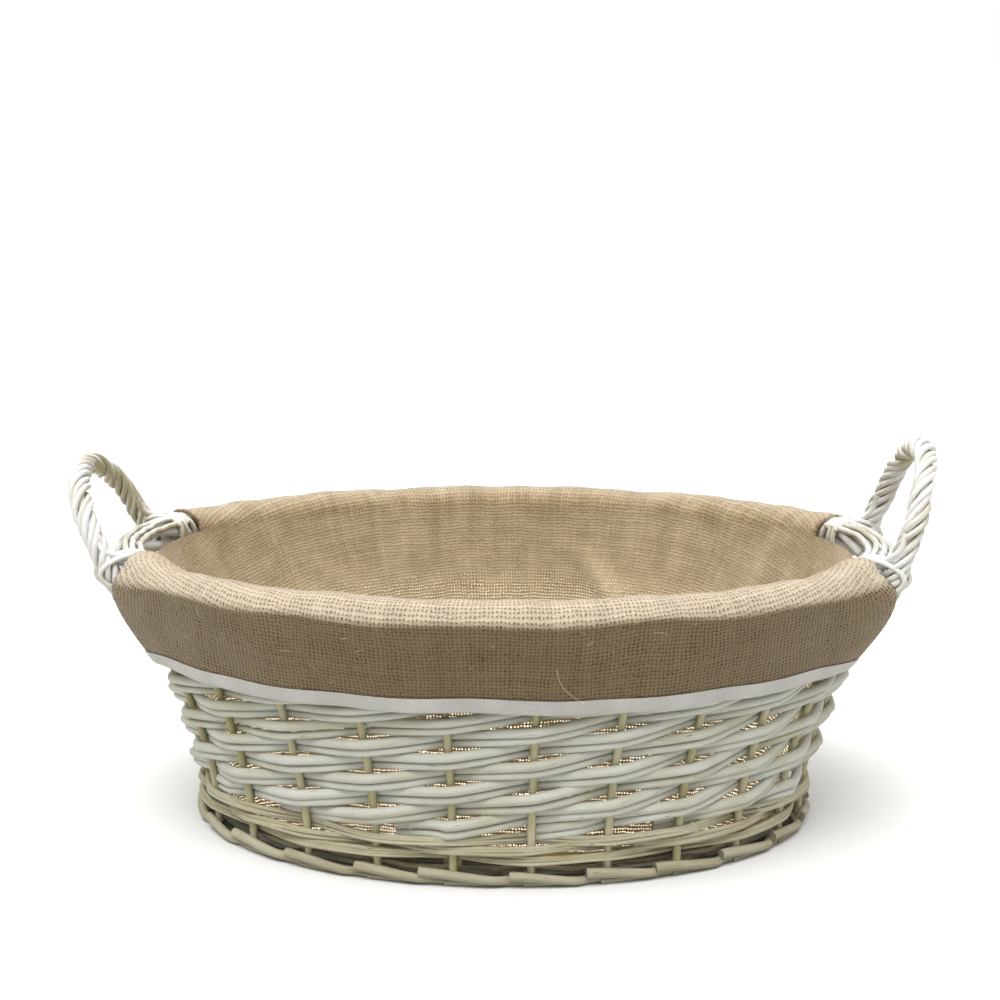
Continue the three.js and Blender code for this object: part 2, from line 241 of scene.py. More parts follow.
def weave_rods(name, rods, faces=8, closed=False):
    """One mesh of round rods. Each is (points, radii, tone): tone is that rod's own shade.
    The map rod_skin runs in metres along and round each rod, and cut marks its sawn ends."""
    points_all, quads, skin, tones, cuts = [], [], [], [], []
    start = 0
    for points, radii, tone in rods:
        points = np.asarray(points, float)
        count = len(points)
        radii = np.broadcast_to(np.asarray(radii, float), (count,))
        if closed:
            points_wrapped = np.vstack([points[-1], points, points[0]])
            side, up = (part[1:-1] for part in rod_frames(points_wrapped))
        else:
            side, up = rod_frames(points)
        turn = np.linspace(0, math.tau, faces, endpoint=False)
        ring = side[:, None] * np.cos(turn)[None, :, None] + up[:, None] * np.sin(turn)[None, :, None]
        points_all.append((points[:, None] + ring * radii[:, None, None]).reshape(-1, 3))
        travelled = np.concatenate([[0], np.cumsum(np.linalg.norm(np.diff(points, axis=0), axis=1))])
        offset = 10 * chance.random()
        girth = math.tau * float(radii.mean()) / faces
        spans = count if closed else count - 1
        for i in range(spans):
            j = (i + 1) % count
            far = travelled[i + 1] if i + 1 < count else travelled[i] + travelled[1]
            for k in range(faces):
                m = (k + 1) % faces
                quads.append((start + i * faces + k, start + i * faces + m,
                              start + j * faces + m, start + j * faces + k))
                skin += [(travelled[i] + offset, k * girth), (travelled[i] + offset, (k + 1) * girth),
                         (far + offset, (k + 1) * girth), (far + offset, k * girth)]
                cuts.append(0.0)
        if not closed:
            for i, order in ((0, range(faces - 1, -1, -1)), (count - 1, range(faces))):
                quads.append(tuple(start + i * faces + k for k in order))
                skin += [(offset, k * girth) for k in order]
                cuts.append(1.0)
        tones += [tone] * (count * faces)
        start += count * faces
    mesh = bpy.data.meshes.new(name)
    mesh.from_pydata(np.vstack(points_all).tolist(), [], quads)
    mesh.uv_layers.new(name="rod_skin").data.foreach_set("uv", np.array(skin, float).ravel())
    mesh.attributes.new("tone", "FLOAT", "POINT").data.foreach_set("value", np.array(tones))
    mesh.attributes.new("cut", "FLOAT", "FACE").data.foreach_set("value", np.array(cuts))
    made = start_editing(name, mesh)
    bpy.ops.mesh.normals_make_consistent(inside=False)
    bpy.ops.object.mode_set(mode="OBJECT")
    bpy.ops.object.shade_smooth_by_angle(angle=math.radians(55))
    return made


def willow(name, wood, shade, wash, washed, grime):
    """Peeled willow: wood and shade are its light and dark tones, wash is the paint rubbed over
    it, washed how much of it stayed on, and grime how dark its pores and scars are."""
    material, tree, shader, _ = new_material(name)
    sum_up = arithmetic(tree)
    skin = add_node(tree, "ShaderNodeUVMap", uv_map="rod_skin").outputs[0]
    place = add_node(tree, "ShaderNodeTexCoord").outputs["Object"]
    tone = add_node(tree, "ShaderNodeAttribute", attribute_name="tone").outputs["Fac"]
    cut = add_node(tree, "ShaderNodeAttribute", attribute_name="cut").outputs["Fac"]

    def streaks(along, around, detail):
        stretched = add_node(tree, "ShaderNodeMapping", {"Vector": skin, "Scale": (along, around, 1)})
        return add_node(tree, "ShaderNodeTexNoise", {
            "Vector": stretched.outputs[0], "Scale": 1, "Detail": detail, "Roughness": 0.6}).outputs[0]

    def ramp(value, low, high):
        return add_node(tree, "ShaderNodeMapRange", {
            "Value": value, "From Min": low, "From Max": high}).outputs[0]

    grain = streaks(55, 1500, 6)
    patches = streaks(24, 170, 4)
    blotches = add_node(tree, "ShaderNodeTexNoise", {"Vector": place, "Scale": 38, "Detail": 4}).outputs[0]
    body = mix_colours(tree, ramp(grain, 0.32, 0.7), shade, wood)
    paler = mix_colours(tree, 0.5, body, wood)
    body = mix_colours(tree, ramp(tone, 0, 1), body, paler)
    kept = sum_up("MULTIPLY", ramp(patches, 0.36, 0.62), 0.6)
    kept = sum_up("MULTIPLY_ADD", ramp(blotches, 0.35, 0.6), 0.45, kept)
    kept = sum_up("MULTIPLY", sum_up("MULTIPLY_ADD", tone, 0.5, kept), washed, use_clamp=True)
    body = mix_colours(tree, kept, body, wash)
    scars = sum_up("MULTIPLY", ramp(streaks(95, 620, 3), 0.64, 0.74), grime)
    body = mix_colours(tree, scars, body, (0.09, 0.075, 0.05, 1))
    # Painted shade: rods with the lowest tone, deep in the foot, are coloured near-black.
    body = mix_colours(tree, ramp(tone, PAINTED_SHADE_TONE + 1, PAINTED_SHADE_TONE), body, (0.05, 0.043, 0.033, 1))
    sawn = mix_colours(tree, ramp(grain, 0.4, 0.6), (0.34, 0.31, 0.25, 1), (0.13, 0.11, 0.08, 1))
    body = mix_colours(tree, cut, body, sawn)
    tree.links.new(body, shader.inputs["Base Color"])
    shader.inputs["Specular IOR Level"].default_value = 0.3
    rough = add_node(tree, "ShaderNodeMapRange", {
        "Value": patches, "From Min": 0.3, "From Max": 0.7, "To Min": 0.5, "To Max": 0.8})
    tree.links.new(rough.outputs[0], shader.inputs["Roughness"])
    bump = add_node(tree, "ShaderNodeBump", {
        "Height": sum_up("ADD", grain, patches), "Strength": 0.55, "Distance": 0.0006})
    tree.links.new(bump.outputs[0], shader.inputs["Normal"])
    return material


def finish_piece(piece, material, body, slot, *nodes):
    """Gives a piece its material, ties it to its body, and hides the CAD nodes it stands for."""
    piece.data.materials.append(material)
    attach(piece, body)
    if nodes:
        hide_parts(*nodes)


bare_willow = willow("bare_willow", (0.50, 0.43, 0.26, 1), (0.26, 0.20, 0.10, 1),
                     (0.60, 0.57, 0.47, 1), 0.32, 0.8)
for pattern, number, axis in BASE_STICKS:
    for i in range(number):
        node = pattern % (i + 1)
        low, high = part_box(node)
        middle = (low + high) / 2
        ends = np.array([middle, middle], float)
        ends[0][1 - axis], ends[1][1 - axis] = low[1 - axis], high[1 - axis]
        line = np.linspace(ends[0], ends[1], 24)
        line[:, 2] += wander(24, 0.15 * MM)
        line[:, axis] += wander(24, 0.6 * MM)
        stick = weave_rods(node + "_rod", [(line, STICK_RADIUS, chance.random())])
        finish_piece(stick, bare_willow, "basket", "natural_willow", node)

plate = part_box("base_weave")[1]
rounds = []
ring = 0
while plate.y - (ring + 1) * ROUND_PITCH > 0:
    angle = np.linspace(0, math.tau, 144, endpoint=False)
    inset = (ring + 0.6) * ROUND_PITCH
    height = ROUND_MIDDLE + ROUND_WAVE * np.cos(ROUND_WAVES * angle + math.pi * ring)
    line = np.stack([(plate.x - inset) * np.cos(angle), (plate.y - inset) * np.sin(angle), height], -1)
    rounds.append((line, ROUND_RADIUS, chance.random()))
    ring += 1
base_rounds = weave_rods("base_rounds", rounds, faces=6, closed=True)
finish_piece(base_rounds, bare_willow, "basket", "natural_willow", "base_weave")


# -------------------------------- stakes
# Twenty-four green-gold willow uprights, pushed in beside the base sticks and pricked up to
# carry the wall. They thin a little towards the rim, where the border takes them in.
STAKES = 24
STAKE_RADIUS = 2.3 * MM
STAKE_FOOT = 6 * MM                  # where they are bent into the foot border
FIRST_STAKE = -98.8                  # degrees round the oval
STAKE_DRIFT = 2.6                    # hand-set stakes are not quite even
DRIFT_PHASE = 128.3


def stake_angle(u):
    """The angle round the oval of stake number u; a fraction is a place between two stakes."""
    even = FIRST_STAKE + (360 / STAKES) * np.asarray(u, float)
    return np.radians(even + STAKE_DRIFT * np.cos(2 * np.radians(even + DRIFT_PHASE)))


green_willow = willow("green_willow", (0.40, 0.36, 0.16, 1), (0.27, 0.235, 0.10, 1),
                      (0.55, 0.54, 0.44, 1), 0.42, 0.5)
for i in range(STAKES):
    height = np.linspace(STAKE_FOOT, RIM_Z - BORDER_RADIUS, 26)
    line = on_wall(stake_angle(i), height, 0)
    line[:, :2] += np.stack([wander(26, 0.1 * MM), wander(26, 0.1 * MM)], -1)
    thickness = np.linspace(1.05, 0.92, 26) * STAKE_RADIUS
    upright = weave_rods(f"stake_{i + 1:02d}_rod", [(line, thickness, chance.random())])
    finish_piece(upright, green_willow, "basket", "green_stakes", f"stake_{i + 1:02d}")


# -------------------------------- wale
# Thin bare rods twined tightly round the foot of the wall, in front of two stakes and behind
# the third, to lock the stakes before the side weave begins.
WALES = 3
WALE_RODS = 3                        # in each of them, side by side
WALE_RADIUS = 1.35 * MM
WALE_SPREAD = 1.7 * MM               # from one rod of a wale to the next
WALE_CLIMB = 3.4 * MM                # of a rod, over the three stakes of one stroke
WALE_LOWEST = 13.5 * MM
STEPS_PER_STAKE = 10


def side_of(u, side_at):
    """Where a rod lies at stake number u: 1 is fully in front of the stakes, -1 behind. side_at
    gives its side at each whole stake, and it crosses from one to the next almost in a line."""
    stake = np.floor(u).astype(int)
    share = u - stake
    here = np.array([side_at(s) for s in stake])
    there = np.array([side_at(s + 1) for s in stake])
    eased = 0.2 * (0.5 - 0.5 * np.cos(math.pi * share)) + 0.8 * share
    return here + (there - here) * eased


thin_willow = willow("thin_willow", (0.41, 0.37, 0.205, 1), (0.13, 0.11, 0.05, 1),
                     (0.48, 0.46, 0.38, 1), 0.45, 0.9)
for i in range(WALES):
    low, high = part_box(f"wale_{i + 1}")
    twined = []
    for j in range(WALE_RODS):
        u = np.arange(0, STAKES, 1 / STEPS_PER_STAKE)
        late = i + 0.33 * j + 0.3 * ripple(math.tau * u / STAKES, (2, 3, 5), 40 + 3 * i + j)
        side = side_of(u, lambda s: -1 if (s + i) % 3 == 0 else 1)
        lift = ((u + late - 0.4) % 3) / 3 - 0.5
        fade = np.clip(4 * (0.5 - np.abs(lift)), 0, 1)
        height = (low.z + high.z) / 2 + WALE_SPREAD * (1 - j) + WALE_CLIMB * lift * fade
        height = height + 0.5 * MM * ripple(math.tau * u / STAKES, (4, 7, 11, 17), 50 + 3 * i + j)
        height = np.maximum(height, WALE_LOWEST)
        off = (STAKE_RADIUS + WALE_RADIUS) * side + 0.7 * MM * (j - 1) * np.clip(side, 0, 1)
        line = on_wall(stake_angle(u), height, off)
        twined.append((line, WALE_RADIUS * (1.1 - 0.13 * j), chance.random()))
    band = weave_rods(f"wale_{i + 1}_rods", twined, faces=8, closed=True)
    finish_piece(band, thin_willow, "basket", "natural_willow", f"wale_{i + 1}")


# -------------------------------- side weave
# Fourteen pairs of whitewashed rods, a thick one over a thin one, which climb to the right as
# they pass in front of one stake and behind the next. Gaps open beside each stake they go behind.
PAIRS = 14
COURSE = 10.5 * MM
FIRST_COURSE = 20 * MM
PAIR_FOOT = 34.8 * MM
PAIR_TOP = 146.5 * MM
THICK = 2.9 * MM
THIN = 2.25 * MM
GAP_SHIFT = 0.1 * MM                 # a pair sinks in front of a stake and rises behind it
CLIMB = COURSE * PAIRS / STAKES      # of a pair, from one stake to the next
TAIL = 0.75                          # a pair's first end is tucked in, this many stakes long

white_willow = willow("white_willow", (0.47, 0.45, 0.33, 1), (0.31, 0.29, 0.19, 1),
                      (0.515, 0.52, 0.47, 1), 0.8, 0.85)
for i in range(PAIRS):
    start = 1 + (PAIR_FOOT - FIRST_COURSE - COURSE * i) / CLIMB
    end = start + (PAIR_TOP - PAIR_FOOT) / CLIMB
    start -= TAIL
    u = np.linspace(start, end, int((end - start) * STEPS_PER_STAKE))
    side = side_of(u, lambda s: 1 if (s + i) % 2 == 0 else -1)
    side = side - (1 + side) * np.clip(1 - (u - start) / 0.7, 0, 1) ** 0.6
    height = FIRST_COURSE + COURSE * i + CLIMB * (u - 1) - GAP_SHIFT * side
    pair = []
    for radius, above in ((THICK, THIN), (THIN, -THICK)):
        taper = np.linspace(1.06, 0.86, len(u)) * (1 + wander(len(u), 0.02, 9))
        off = (STAKE_RADIUS + radius) * side + wander(len(u), 0.12 * MM, 9)
        wobble = wander(len(u), 0.3 * MM, 12)
        line = on_wall(stake_angle(u), height + above + wobble, off)
        pair.append((line, radius * taper, chance.random()))
    strand = weave_rods(f"weaver_pair_{i + 1:02d}_rods", pair, faces=10)
    finish_piece(strand, white_willow, "basket", "whitewashed_willow", f"weaver_pair_{i + 1:02d}")


# -------------------------------- foot border
# The butt ends of the stakes, bent outwards under the wale and laid one over the next: each
# shows a sawn end, runs down to the right and tucks under its neighbour.
FOOT_ROD = 2.75 * MM
SECOND_ROD = 1.6 * MM                # of the thin rods that run along under the butts
FOOT_RINGS = ((2.6, -3.2, 2.6), (12.2, -3.4, 1.5))     # height, way out and radius, in mm
turned = []
for i in range(STAKES):
    u = np.linspace(i - 0.3 + 0.07 * chance.normal(), i + 0.95, 24)
    share = (u - u[0]) / (u[-1] - u[0])
    height = (7.4 - 4.0 * ease(share / 0.9) + chance.normal(0, 0.35)) * MM
    off = (4.1 - 6.5 * ease((share - 0.66) / 0.34)) * MM
    radius = FOOT_ROD * np.linspace(1.06, 0.86, 24) * (1 + 0.06 * chance.normal())
    height = np.maximum(height, radius)
    turned.append((on_wall(stake_angle(u), 0, off, level=height), radius, chance.random()))
    u = np.linspace(i - 0.1, i + 1.3, 20)
    height = (2.1 + 0.3 * chance.normal() + 0.4 * np.linspace(-1, 1, 20)).clip(1.7, 9) * MM
    off = 2.3 * MM - 1.2 * MM * np.linspace(0, 1, 20)
    turned.append((on_wall(stake_angle(u), 0, off, level=height), SECOND_ROD, chance.random()))
# The rings deep inside the foot take the lowest tone, which paints them near-black as painted shade.
for height, off, radius in FOOT_RINGS:
    u = np.linspace(0.1, STAKES - 0.15, 260)
    line = on_wall(stake_angle(u), 0, off * MM, level=height * MM + wander(260, 0.1 * MM))
    turned.append((line, radius * MM, PAINTED_SHADE_TONE))
foot = weave_rods("foot_border_rods", turned, faces=10)
foot_willow = willow("foot_willow", (0.38, 0.345, 0.21, 1), (0.15, 0.125, 0.065, 1),
                     (0.46, 0.445, 0.375, 1), 0.38, 1.0)
finish_piece(foot, foot_willow, "basket", "natural_willow", "foot_border")


# -------------------------------- top border
# The tops of the stakes, bent over and rolled round each other into a rope-like rim. It shows
# between the feet of each handle, and all round when the liner is out.
ROLL_RADIUS = 5.1 * MM
ROLL_ROD = 3.2 * MM
paint_willow = willow("paint_willow", (0.46, 0.415, 0.27, 1), (0.27, 0.235, 0.125, 1),
                      (0.66, 0.66, 0.655, 1), 0.95, 0.8)
rolled = []
for i in range(STAKES):
    u = np.linspace(i, i + 3.04, 40)
    turn = np.radians(220) - math.tau * (u - i) / 3
    off = BORDER_OUT + ROLL_RADIUS * np.cos(turn)
    line = on_wall(stake_angle(u), RIM_Z, off, level=RIM_Z + ROLL_RADIUS * np.sin(turn))
    rolled.append((line, ROLL_ROD * np.linspace(1.06, 0.92, 40), chance.random()))
rim = weave_rods("top_border_rods", rolled, faces=10)
finish_piece(rim, paint_willow, "basket", "whitewashed_willow", "top_border")


# -------------------------------- handles
# A bow of two thick rods with three strands of two rods roped round it. Each foot comes down
# outside the border; rods from it run along and over the border and are tucked in.
HANDLE_ROPE = 7.0 * MM
HANDLE_GAP = 1.0 * MM
HANDLE_HALF_SPAN = 53 * MM
HANDLE_TAIL_Z = 147 * MM
HANDLE_TAIL_OUT = 15 * MM
ROPE_LAY = 45 * MM                   # length of one full turn of the rope
ROPE_STEPS = 150
STRANDS_IN_ROPE = 3
FLAT_FOOT = 26 * MM                  # the rope opens over this length at each foot
BARS = 4
WRAPS = ((-6, 2.2), (0, 1.7), (9, 1.2), (17, 0.9))     # way along the rim, height over it, in mm
WRAP_COURSE = ((55, 0.15), (95, 0.45), (140, 0.8), (185, 1), (225, 1))   # degrees, share of the way
RIM_TURN = 1 / 0.17                  # radians round the rim for each metre along it at the feet
handle_shapes = {"handle_left": (-1, 58 * MM, 26, 0.95), "handle_right": (1, 68 * MM, 18, 0.85)}


def smooth_route(points, count):
    """Evenly spaced points on a smooth curve through a few given ones."""
    points = np.asarray(points, float)
    padded = np.vstack([2 * points[0] - points[1], points, 2 * points[-1] - points[-2]])
    dense = []
    for i in range(1, len(padded) - 2):
        p0, p1, p2, p3 = padded[i - 1:i + 3]
        for t in np.linspace(0, 1, 24, endpoint=False):
            dense.append(0.5 * (2 * p1 + (p2 - p0) * t + (2 * p0 - 5 * p1 + 4 * p2 - p3) * t ** 2
                                + (3 * p1 - p0 - 3 * p2 + p3) * t ** 3))
    dense.append(points[-1])
    dense = np.array(dense)
    along = np.concatenate([[0], np.cumsum(np.linalg.norm(np.diff(dense, axis=0), axis=1))])
    even = np.linspace(0, along[-1], count)
    return np.stack([np.interp(even, along, dense[:, k]) for k in range(3)], -1), even


def border_ring(angle, radius, degrees):
    """A point on a circle round the border: 0 degrees is outside, 90 on top."""
    turn = np.radians(degrees)
    return on_wall(angle, RIM_Z, BORDER_OUT + radius * np.cos(turn), level=RIM_Z + radius * np.sin(turn))


foot_angle = math.asin(HANDLE_HALF_SPAN / (RIM_WIDTH + BORDER_OUT))
foot_reach = BORDER_RADIUS + HANDLE_GAP + HANDLE_ROPE


def bow_route(hand, rise, lean, roundness):
    """The middle of a handle's rope from tail to tail: up one leg, over, and down the other."""
    foot_point = border_ring(foot_angle, foot_reach, 0)
    tail = on_wall(foot_angle, HANDLE_TAIL_Z, HANDLE_TAIL_OUT)
    route = [(hand * tail[0], -tail[1], tail[2])]
    for turn in np.linspace(0, math.pi, 13):
        across = -foot_point[1] * math.copysign(abs(math.cos(turn)) ** roundness, math.cos(turn))
        up = rise * abs(math.sin(turn)) ** roundness
        route.append((hand * (foot_point[0] + up * math.sin(math.radians(lean))), across,
                      foot_point[2] + up * math.cos(math.radians(lean))))
    route.append((hand * tail[0], tail[1], tail[2]))
    return smooth_route(route, ROPE_STEPS)


def rope_rods(middle, travelled):
    """Two straight core rods and the strands laid round them, each strand of two rods."""
    side, up = rod_frames(middle)
    roped = [(middle[3:-3] + 0.9 * MM * side[3:-3], 2.8 * MM, 0.1),
             (middle[3:-3] - 0.9 * MM * side[3:-3], 2.7 * MM, 0.1)]
    from_end = np.minimum(travelled, travelled[-1] - travelled)
    slack = 1 + 0.18 * np.clip(1 - from_end / FLAT_FOOT, 0, 1)
    for strand in range(STRANDS_IN_ROPE):
        for rod in range(2):
            turn = math.tau * travelled / ROPE_LAY + math.tau * strand / STRANDS_IN_ROPE
            turn = turn + math.radians(25) * (2 * rod - 1) + wander(ROPE_STEPS, 0.1)
            spread = chance.uniform(4.2, 5.1) * MM * slack + wander(ROPE_STEPS, 0.45 * MM)
            line = middle + spread[:, None] * (np.cos(turn)[:, None] * side + np.sin(turn)[:, None] * up)
            cut_back = int(4 * chance.random())
            radius = chance.uniform(1.8, 2.15) * MM * (1 + wander(ROPE_STEPS, 0.04))
            kept = slice(cut_back, ROPE_STEPS - cut_back)
            roped.append((line[kept], radius[kept], 0.35 + 0.65 * chance.random()))
    return roped


def bar_rods(hand):
    """Rods that lie side by side along the top of the border, from foot to foot."""
    bars = []
    share = np.linspace(-1, 1, 60)
    for bar in range(BARS):
        line = border_ring(foot_angle * 1.12 * share, BORDER_RADIUS + 1.2 * MM + wander(60, 0.3 * MM),
                           42 + 29 * bar + 9 * share + wander(60, 3))
        bars.append((line * (hand, 1, 1), chance.uniform(1.7, 2.0) * MM, 0.9 * chance.random()))
    return bars


def foot_rods(leg, hand, end):
    """Rods that leave the rope and go over the border and in, then two that loop round its leg."""
    laid = []
    for wrap, (along, over) in enumerate(WRAPS):
        on_leg = leg[[28 - 3 * wrap, 21 - 2 * wrap]] + np.array([-4.2 * hand, 2 * (wrap - 2), 0]) * MM
        shift = along * MM * RIM_TURN
        course = [border_ring(foot_angle + shift * share, BORDER_RADIUS + over * MM, degrees)
                  for degrees, share in WRAP_COURSE]
        line, _ = smooth_route(np.vstack([on_leg, np.array(course) * (hand, end, 1)]), 60)
        laid.append((line, 1.9 * MM * np.linspace(1.05, 0.85, 60), 0.3 + 0.7 * chance.random()))
    share = np.linspace(0, 1, 40)
    degrees = 150 - 320 * share
    bulge = 13.0 * MM * np.exp(-((degrees / 75) ** 2))
    for loop in range(2):
        climb = np.radians(-2.2 + 3.0 * loop + 2.0 * share)
        line = border_ring(foot_angle + climb, BORDER_RADIUS + 2.2 * MM, degrees)
        line[:, 0] += bulge * math.cos(foot_angle)
        line[:, 1] += bulge * math.sin(foot_angle)
        laid.append((line * (hand, end, 1), 1.7 * MM, 0.3 + 0.5 * chance.random()))
    return laid


def leave_bare(rope, hand):
    """Lowers the tone where the paint brush didn't reach: below, and inside the bow."""
    facing = np.empty(len(rope.data.vertices) * 3)
    rope.data.vertices.foreach_get("normal", facing)
    facing = facing.reshape(-1, 3)
    where = np.empty(len(rope.data.vertices) * 3)
    rope.data.vertices.foreach_get("co", where)
    behind = where[1::3] > 0
    tone = np.empty(len(rope.data.vertices))
    rope.data.attributes["tone"].data.foreach_get("value", tone)
    missed = -0.5 * hand * facing[:, 0] - 0.6 * facing[:, 2] + np.where(behind, -0.8, 0.8) * facing[:, 1]
    missed = np.clip(missed - 0.2, 0, 1) * np.where(behind, 3.0 if hand < 0 else 1.3, 1.3)
    rope.data.attributes["tone"].data.foreach_set("value", tone - missed)


for name, (hand, rise, lean, roundness) in handle_shapes.items():
    middle, travelled = bow_route(hand, rise, lean, roundness)
    roped = rope_rods(middle, travelled) + bar_rods(hand)
    roped += foot_rods(middle, hand, -1)
    roped += foot_rods(middle[::-1], hand, 1)
    rope = weave_rods(name + "_rope", roped, faces=8)
    leave_bare(rope, hand)
    finish_piece(rope, paint_willow, "basket", "whitewashed_willow", name)


# -------------------------------- liner
# A hessian sack, sewn from one band and an oval bottom. It hangs inside the wall in soft folds
# and turns down over the border at the front and back; between the handle feet its edge is short.
LINER_OUT = -9.3 * MM                # from the stake line to the cloth inside the wall
CLOTH_RADIUS = 10.3 * MM             # of the cloth where it rolls over the border
CUFF_START = 22.6                    # degrees from the handles' axis to the ends of the cuffs
CREASE = (11.8 * MM, 159.6 * MM)     # how far out the cuff turns down, and at what height
HANG_END = 112.5 * MM
HANG_OUT = (10.9 * MM, 9.8 * MM)     # of the lower edge from the stake line, at the ends and front
LINER_FOOT = 15.6 * MM
WALL_LENGTH = 153 * MM               # of the cloth inside the wall, over the border and in a cuff
ROLL_LENGTH = 29 * MM
HANG_LENGTH = 49 * MM
COLUMNS = 360
WALL_ROWS = 34
THREAD_PITCH = 2.12 * MM
GRAIN_TURN = 0.55                    # how far the threads have turned where the halves are joined
TURNED_IN = 1.5 * MM                 # of a cuff's raw ends


def from_handles(angle):
    """Degrees from the long axis, on whichever side of the basket this is."""
    return np.degrees(np.arcsin(np.clip(np.abs(np.sin(angle)), 0, 1)))


def bump_at(angle, centre, width):
    """A single fold round a place on the oval; its centre and width are in degrees."""
    apart = np.degrees(np.angle(np.exp(1j * (angle - np.radians(centre)))))
    return np.exp(-(apart / width) ** 2)


def liner_wall_point(angle, share):
    """The cloth inside the wall: share is 0 at the bottom and 1 where it meets the border."""
    z = LINER_FOOT + (RIM_Z - LINER_FOOT) * share
    loose = np.sin(math.pi * np.clip(share, 0, 1)) ** 0.7
    fold = 2.6 + 1.7 * ripple(angle, (5, 8, 11, 13), 3) + 1.1 * ripple(angle, (19, 23, 29), 5)
    fold = fold + 11 * bump_at(angle, 66 + 42 * (share - 0.55), 3.4) * ease(3.2 * (0.9 - share))
    fold = fold + 5 * bump_at(angle, 24 + 3 * share, 3.2) + 6 * bump_at(angle, 158, 4)
    fold = fold + 8 * bump_at(angle, 4, 2.2) + 3.5 * bump_at(angle, 110, 6)
    fold = fold + 5.5 * bump_at(angle, 128 + 12 * share, 5) + 3.5 * bump_at(angle, 47 - 14 * share, 5)
    fold = np.clip(fold, 0, None) * MM * loose
    return on_wall(angle, z, LINER_OUT - fold)


def swell(angle):
    """Extra room where the ends of the cuffs go round the wrapped feet of the handles."""
    return 4.2 * MM * np.exp(-((from_handles(angle) - CUFF_START) / 7) ** 2)


def liner_roll_point(angle, share):
    """From inside the border (share 0), over it, and down to the crease (share 1)."""
    slack = (0.45 * ripple(angle, (14, 21, 27, 33), 7) + 0.45 * ripple(angle, (9, 17, 41), 9)) * MM
    slack = slack + 0.7 * swell(angle)
    turn = np.radians(180 - 148 * np.clip(share / 0.8, 0, 1))
    radius = CLOTH_RADIUS + slack * np.sin(turn).clip(0, 1)
    out = radius * np.cos(turn)
    out = np.where(out < 0, out * (BORDER_OUT - LINER_OUT) / CLOTH_RADIUS, out)
    up = radius * np.sin(turn)
    final = np.clip((share - 0.8) / 0.2, 0, 1)
    out = out + final * (CREASE[0] + swell(angle) + 0.5 * slack - out)
    up = up + final * (CREASE[1] - RIM_Z + 1.1 * MM * ripple(angle, (6, 10, 15, 22), 17) - up)
    return on_wall(angle, RIM_Z, BORDER_OUT + out, level=RIM_Z + up)


def liner_hang_point(angle, share):
    """The cuff from its crease (share 0) down to the hem (share 1), as a straight, short fall."""
    top = liner_roll_point(angle, 1 + 0 * angle)
    end_x = HANG_OUT[0] * np.cos(angle) ** 2 + HANG_OUT[1] * np.sin(angle) ** 2
    wave = 0.6 * MM * ripple(angle, (12, 18, 25, 37), 11)
    foot = on_wall(angle, HANG_END, end_x + wave + 0.5 * swell(angle))
    foot[..., 2] += 0.5 * MM * ripple(angle, (7, 13, 19), 13)
    share = np.asarray(share)[..., None]
    ends = 6.5 * np.exp(-((from_handles(angle) - CUFF_START) / 8) ** 2) * (np.sin(angle) < 0)
    ends = ends * np.where(np.cos(angle) > 0, 1.15, 0.6)
    belly = np.sin(math.pi * share) * (0.5 + 0.5 * ripple(angle, (8, 15, 24), 15))[..., None] * MM
    belly = belly + np.sin(math.pi * share ** 0.62) * ends[..., None] * MM
    line = top + (foot - top) * share
    return line + belly * np.stack([np.cos(angle), np.sin(angle), 0 * angle], -1)


def sew(name, patches):
    """One cloth mesh from grids of points, each with the same grid of cloth coordinates in metres
    and of heights up the cloth. Points that meet are sewn together."""
    points, faces, skin, heights = [], [], [], []
    for grid, cloth, up in patches:
        start = sum(len(part) for part in points)
        rows, columns = grid.shape[:2]
        points.append(grid.reshape(-1, 3))
        heights.append(np.broadcast_to(up, grid.shape[:2]).reshape(-1))
        flat = cloth.reshape(-1, 2)
        for r in range(rows - 1):
            for c in range(columns - 1):
                first = r * columns + c
                corner = [first, first + 1, first + columns + 1, first + columns]
                faces.append([start + index for index in corner])
                skin += [tuple(flat[index]) for index in corner]
    mesh = bpy.data.meshes.new(name)
    mesh.from_pydata(np.vstack(points).tolist(), [], faces)
    mesh.uv_layers.new(name="cloth_skin").data.foreach_set("uv", np.array(skin, float).ravel())
    mesh.attributes.new("up_cloth", "FLOAT", "POINT").data.foreach_set("value", np.concatenate(heights))
    made = start_editing(name, mesh)
    bpy.ops.mesh.remove_doubles(threshold=1e-6)
    bpy.ops.object.mode_set(mode="OBJECT")
    bpy.ops.object.shade_smooth()
    return made


rim_turn = np.linspace(0, math.pi, 721)
rim_line = on_wall(rim_turn - math.pi, RIM_Z)
rim_along = np.concatenate([[0], np.cumsum(np.linalg.norm(np.diff(rim_line, axis=0), axis=1))])


def cloth_grid(point_at, angles, shares, low, high):
    """A patch of cloth in one half of the liner, with a row of points for each share, from cloth
    height low to high above the border. The threads run level in the middle of each half."""
    angle, share = np.meshgrid(angles, shares)
    half = np.where(np.mean(angles) < 0, -math.pi, 0)
    way = (rim_along - rim_along[-1] / 2) / (rim_along[-1] / 2)
    slant = GRAIN_TURN * way * np.abs(way)
    step = np.gradient(rim_along)
    level = np.cumsum(step * np.cos(slant))
    drop = np.cumsum(step * np.sin(slant))
    around = angle - half
    turned = np.interp(around, rim_turn, slant)
    up = low + (high - low) * share
    across = np.interp(around, rim_turn, level) - up * np.sin(turned)
    rise = np.interp(around, rim_turn, drop) + up * np.cos(turned)
    return point_at(angle, share), np.stack([across, rise], -1), up


